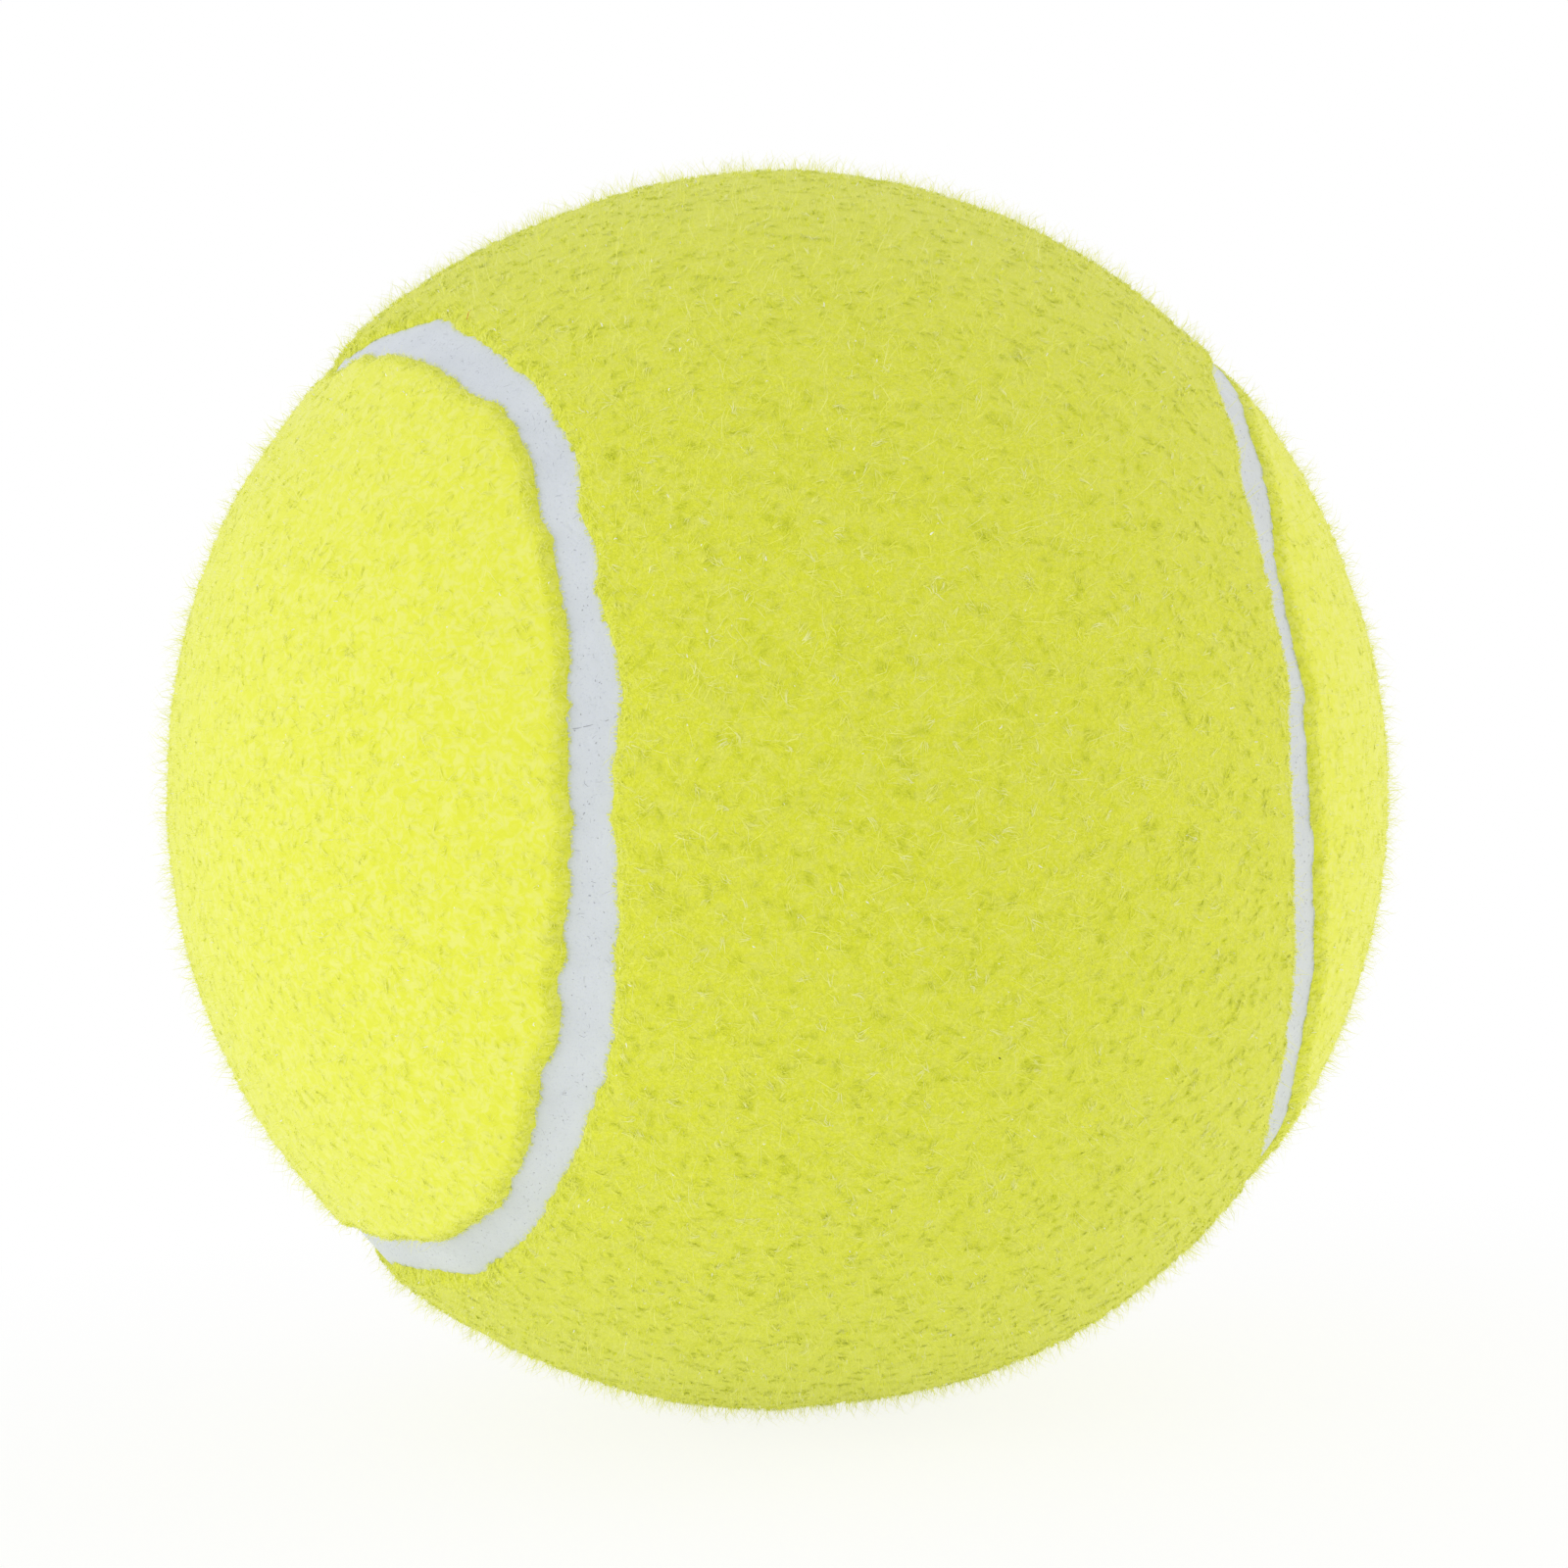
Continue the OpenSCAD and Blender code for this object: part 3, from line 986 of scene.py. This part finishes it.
# The felt's yellows, from the painted shade in the gaps between its fibres to the white of the fibres
# painted as glints of light
DEEP_SHADE = (0.70, 0.76, 0.03)
MIDDLE = (0.80, 0.85, 0.035)
SHADY = (0.82, 0.865, 0.02)
BRIGHT = (0.85, 0.885, 0.075)
SOFT = (0.88, 0.9, 0.2)
FRESH = (0.91, 0.935, 0.12)
LIGHT = (0.90, 0.92, 0.19)
PALE = (0.94, 0.95, 0.5)
WHITE = (0.97, 0.975, 0.9)


def felt_material(name, lumpiness, relief, paler):
    """Needled felt seen between its loose fibres: short matted strands, clumps and paler patches, with
    painted shade in the strands' low parts.
    """
    material, tree, shader = new_material(name, roughness=0.85, specular=0.3)
    place = object_place(tree)
    strands = noise_node(tree, place, 0.15, detail=3.0, roughness=0.65, distortion=1.6)
    clumps = noise_node(tree, place, 0.5, detail=2.0, roughness=0.6, distortion=1.2)
    drift = noise_node(tree, place, 14.0, detail=1.0)
    # The strands' low parts, where the bump sinks too, take the darkest yellow: painted shade in the
    # gaps between them
    fine = ramp_node(tree, strands, [(0.37, DEEP_SHADE), (0.5, MIDDLE), (0.63, FRESH)])
    lumpy = ramp_node(tree, clumps, [(0.38, SHADY), (0.5, BRIGHT), (0.62, SOFT)])
    mixed = mix_node(tree, lumpiness, fine, lumpy)
    tinted = mix_node(tree, math_node(tree, "MULTIPLY", drift, 0.25), mixed, BRIGHT)
    tree.links.new(mix_node(tree, paler, tinted, LIGHT), shader.inputs["Base Color"])
    tree.links.new(range_node(tree, strands, 0.75, 0.95), shader.inputs["Roughness"])
    add_sheen(shader, 0.3, (0.97, 1.0, 0.8))
    bump_node(tree, shader, strands, depth_mm=0.06, strength=relief)
    return material


def fibre_material():
    """Dyed wool and nylon fibres, most of them yellow and a few pale. The darkest tone is partly painted
    shade, and the white at the top is painted glints of light.
    """
    material, tree, shader = new_material("felt_fibres", roughness=0.5, specular=0.35)
    tone = add_node(tree, "ShaderNodeAttribute", {"attribute_name": "tone"}).outputs["Fac"]
    stops = [(0.0, DEEP_SHADE), (0.15, MIDDLE), (0.45, FRESH), (0.7, LIGHT), (0.92, PALE), (1.0, WHITE)]
    colour = ramp_node(tree, tone, stops)
    drift = noise_node(tree, object_place(tree), 1.2, detail=1.0)
    colour = mix_node(tree, math_node(tree, "MULTIPLY", drift, 0.2), colour, BRIGHT)
    tree.links.new(colour, shader.inputs["Base Color"])
    add_sheen(shader, 0.25, (0.97, 1.0, 0.85))
    return material


# Greys of the seam's marks: the marks' own colour, and the painted shade of the crack
DIRT_AND_SHADE = (0.38, 0.40, 0.43)
DUST_AND_SHADE = (0.52, 0.54, 0.58)
BLACK = (0.10, 0.10, 0.04)
RUSTY = (0.62, 0.13, 0.03)
GREY = (0.45, 0.45, 0.45)


def marks_material():
    """Grey marks on the seam, with the painted shade of its crack among them, and the two bits of lint
    on the felt, one nearly black and one red.
    """
    material, tree, shader = new_material("marks", roughness=0.8, specular=0.2)
    tone = add_node(tree, "ShaderNodeAttribute", {"attribute_name": "tone"}).outputs["Fac"]
    colour = ramp_node(tree, tone, [(0.0, DIRT_AND_SHADE), (0.6, DUST_AND_SHADE), (0.8, BLACK), (1.0, RUSTY)])
    grain = noise_node(tree, object_place(tree), 0.3, detail=1.0)
    share = math_node(tree, "MULTIPLY", grain, 0.25)
    tree.links.new(mix_node(tree, share, colour, GREY, "MULTIPLY"), shader.inputs["Base Color"])
    return material


def seam_material():
    """Matt vulcanised rubber solution, bluish white, with faint stains and painted shade in its pits."""
    material, tree, shader = new_material("seam_rubber_look", roughness=0.7, specular=0.3)
    place = object_place(tree)
    cloud = noise_node(tree, place, 3.0, detail=3.0)
    grain = noise_node(tree, place, 0.12, detail=3.0, roughness=0.6)
    base = ramp_node(tree, cloud, [(0.3, (0.68, 0.72, 0.77)), (0.7, (0.73, 0.77, 0.82))])
    # The grain's low spots, where the bump sinks too, are darkened: painted shade in the pits
    pits = ramp_node(tree, grain, [(0.3, (0.72, 0.74, 0.76)), (0.42, (1.0, 1.0, 1.0))])
    tree.links.new(mix_node(tree, 0.5, base, pits, "MULTIPLY"), shader.inputs["Base Color"])
    tree.links.new(range_node(tree, grain, 0.6, 0.85), shader.inputs["Roughness"])
    bump_node(tree, shader, grain, depth_mm=0.05, strength=0.6)
    return material


WEAVE_MM = 1.6


def weave_material(name, low, high):
    """The woven base cloth under the nap."""
    material, tree, shader = new_material(name, roughness=0.9, specular=0.1)
    place = object_place(tree)
    waves = []
    for way in ("X", "Z"):
        values = {"Scale": 1 / (WEAVE_MM * MM), "Distortion": 0.6, "bands_direction": way}
        waves.append(add_node(tree, "ShaderNodeTexWave", values, Vector=place).outputs["Fac"])
    weave = math_node(tree, "MULTIPLY", *waves)
    tree.links.new(ramp_node(tree, weave, [(0.0, low), (1.0, high)]), shader.inputs["Base Color"])
    bump_node(tree, shader, weave, depth_mm=0.15)
    return material


def grainy_material(name, low, high, size_mm, roughness, depth_mm):
    """Rubber or cement: two close colours in a grain, with the same grain as relief."""
    material, tree, shader = new_material(name, roughness, specular=0.3)
    grain = noise_node(tree, object_place(tree), size_mm, detail=4.0, roughness=0.6)
    tree.links.new(ramp_node(tree, grain, [(0.3, low), (0.7, high)]), shader.inputs["Base Color"])
    bump_node(tree, shader, grain, depth_mm, strength=0.7)
    return material


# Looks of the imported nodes: the material's name, two colours, and for rubber and cement the
# grain's size, the roughness and the relief's depth
GRAINY = {
    "core_half_upper": ("core_rubber_upper", (0.11, 0.1, 0.085), (0.2, 0.185, 0.16), 0.5, 0.75, 0.05),
    "core_half_lower": ("core_rubber_lower", (0.12, 0.11, 0.09), (0.22, 0.2, 0.17), 0.5, 0.75, 0.05),
    "core_joint_cement": ("joint_cement_look", (0.42, 0.27, 0.1), (0.6, 0.42, 0.2), 0.8, 0.45, 0.04),
    "core_cement_coat": ("cement_coat_look", (0.55, 0.5, 0.33), (0.7, 0.65, 0.46), 1.4, 0.4, 0.03),
}
WOVEN = {
    "felt_base_front": ("base_cloth_front", (0.5, 0.52, 0.18), (0.8, 0.82, 0.42)),
    "felt_base_back": ("base_cloth_back", (0.48, 0.5, 0.17), (0.78, 0.8, 0.4)),
}


def dress_inside():
    """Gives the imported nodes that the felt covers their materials."""
    for make, looks in ((grainy_material, GRAINY), (weave_material, WOVEN)):
        for name, look in looks.items():
            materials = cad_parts[name].data.materials
            materials.clear()
            materials.append(make(*look))


# Stage and light

FLOOR_SIZE = 3.0
# The camera sees this share of the lit paint, with its shadow, near the ball, and pure white past
# the far distance, in metres
FLOOR_KEEP = 0.27
FLOOR_NEAR, FLOOR_FAR = 0.036, 0.1
FLOOR_PAINT, FLOOR_GLOW = 0.65, 0.41
WORLD_LIGHT = 0.74
WORLD_COLOUR = (0.97, 0.98, 1.0)
LAMP_SIZE = 0.45
# Each lamp's direction across, above and nearer as the camera sees it, distance, watts and colour
LAMPS = {
    "key": ((-0.9, 0.2, 0.4), 0.7, 1.2, (1.0, 0.97, 1.0)),
    "fill": ((0.94, 0.33, -0.12), 0.8, 1.3, (1.0, 0.88, 0.55)),
}


def camera_share(tree):
    """1 for rays from the camera and for what glossy or clear surfaces show of the background."""
    path = add_node(tree, "ShaderNodeLightPath")
    seen = path.outputs["Is Camera Ray"]
    for more in ("Is Glossy Ray", "Is Transmission Ray"):
        seen = math_node(tree, "MAXIMUM", seen, path.outputs[more])
    return seen


def show_either(tree, plain, seen, share, output):
    """Shows the plain shader, and the seen one for that share of the rays."""
    both = add_node(tree, "ShaderNodeMixShader", (), Fac=share)
    tree.links.new(plain.outputs[0], both.inputs[1])
    tree.links.new(seen.outputs[0], both.inputs[2])
    tree.links.new(both.outputs[0], tree.nodes[output].inputs["Surface"])


def add_floor():
    """A light table: white paint that glows a little from below. The camera sees it as pure white,
    with a faint shadow round the place where the ball rests."""
    half = FLOOR_SIZE / 2
    mesh = bpy.data.meshes.new("floor")
    z = FLOOR_Z * MM
    corners = [(-half, -half, z), (half, -half, z), (half, half, z), (-half, half, z)]
    mesh.from_pydata(corners, [], [(0, 1, 2, 3)])
    floor = bpy.data.objects.new("floor", mesh)
    bpy.context.scene.collection.objects.link(floor)
    material, tree, shader = new_material("floor_paint", roughness=0.9, specular=0.0)
    shader.inputs["Base Color"].default_value = (FLOOR_PAINT, FLOOR_PAINT, FLOOR_PAINT, 1)
    shader.inputs["Emission Color"].default_value = (1, 1, 1, 1)
    shader.inputs["Emission Strength"].default_value = FLOOR_GLOW
    away = add_node(tree, "ShaderNodeVectorMath", {"operation": "LENGTH"}, Vector=object_place(tree))
    fade = {"From Min": FLOOR_NEAR, "From Max": FLOOR_FAR, "To Min": 1 - FLOOR_KEEP, "To Max": 1.0}
    kept = add_node(tree, "ShaderNodeMapRange", fade, Value=away.outputs["Value"])
    white = add_node(tree, "ShaderNodeEmission", {"Strength": 1.0})
    share = math_node(tree, "MULTIPLY", camera_share(tree), kept.outputs["Result"])
    show_either(tree, shader, white, share, "Material Output")
    mesh.materials.append(material)


def add_world():
    """A plain pale light from all round, which the camera sees as white."""
    world = bpy.data.worlds.new("studio")
    bpy.context.scene.world = world
    world.use_nodes = True
    tree = world.node_tree
    light = tree.nodes["Background"]
    light.inputs["Color"].default_value = (*WORLD_COLOUR, 1)
    light.inputs["Strength"].default_value = WORLD_LIGHT
    white = add_node(tree, "ShaderNodeBackground", {"Color": (1, 1, 1, 1), "Strength": 1.0})
    show_either(tree, light, white, camera_share(tree), "World Output")


def add_lamp(name, direction, distance, watts, colour):
    """A square soft box that faces the ball."""
    way = toward(*direction)
    data = bpy.data.lights.new(name, "AREA")
    data.shape = "SQUARE"
    data.size = LAMP_SIZE
    data.energy = watts
    data.color = colour
    lamp = bpy.data.objects.new(name, data)
    bpy.context.scene.collection.objects.link(lamp)
    e, f = (v[0] for v in tangents(way[None]))
    rows = [(e[i], f[i], way[i], way[i] * distance) for i in range(3)]
    lamp.matrix_world = Matrix([*rows, (0, 0, 0, 1)])


def main():
    fibres = fibre_material()
    fine, coarse = geodesic(OUTER_CUTS), geodesic(INNER_CUTS)
    rough_felt = felt_material("felt_front", lumpiness=0.4, relief=1.0, paler=0.0)
    # The back panel's paler tint is partly its own colour and partly painted sheen, the haze of its fuzz
    # catching the light
    smooth_felt = felt_material("felt_back", lumpiness=0.95, relief=0.1, paler=0.16)
    nap_mesh("felt_front", 1, fine, coarse, rough_felt, "felt_nap_front")
    nap_mesh("felt_back", -1, fine, coarse, smooth_felt, "felt_nap_back")
    seam_mesh(seam_material())
    add_fibres(fibres)
    marks = marks_material()
    seam_marks(marks)
    felt_lint(marks)
    dress_inside()
    add_floor()
    add_world()
    for name, lamp in LAMPS.items():
        add_lamp(name, *lamp)
    bpy.context.scene.view_settings.view_transform = "Standard"
    bpy.context.view_layer.update()


main()
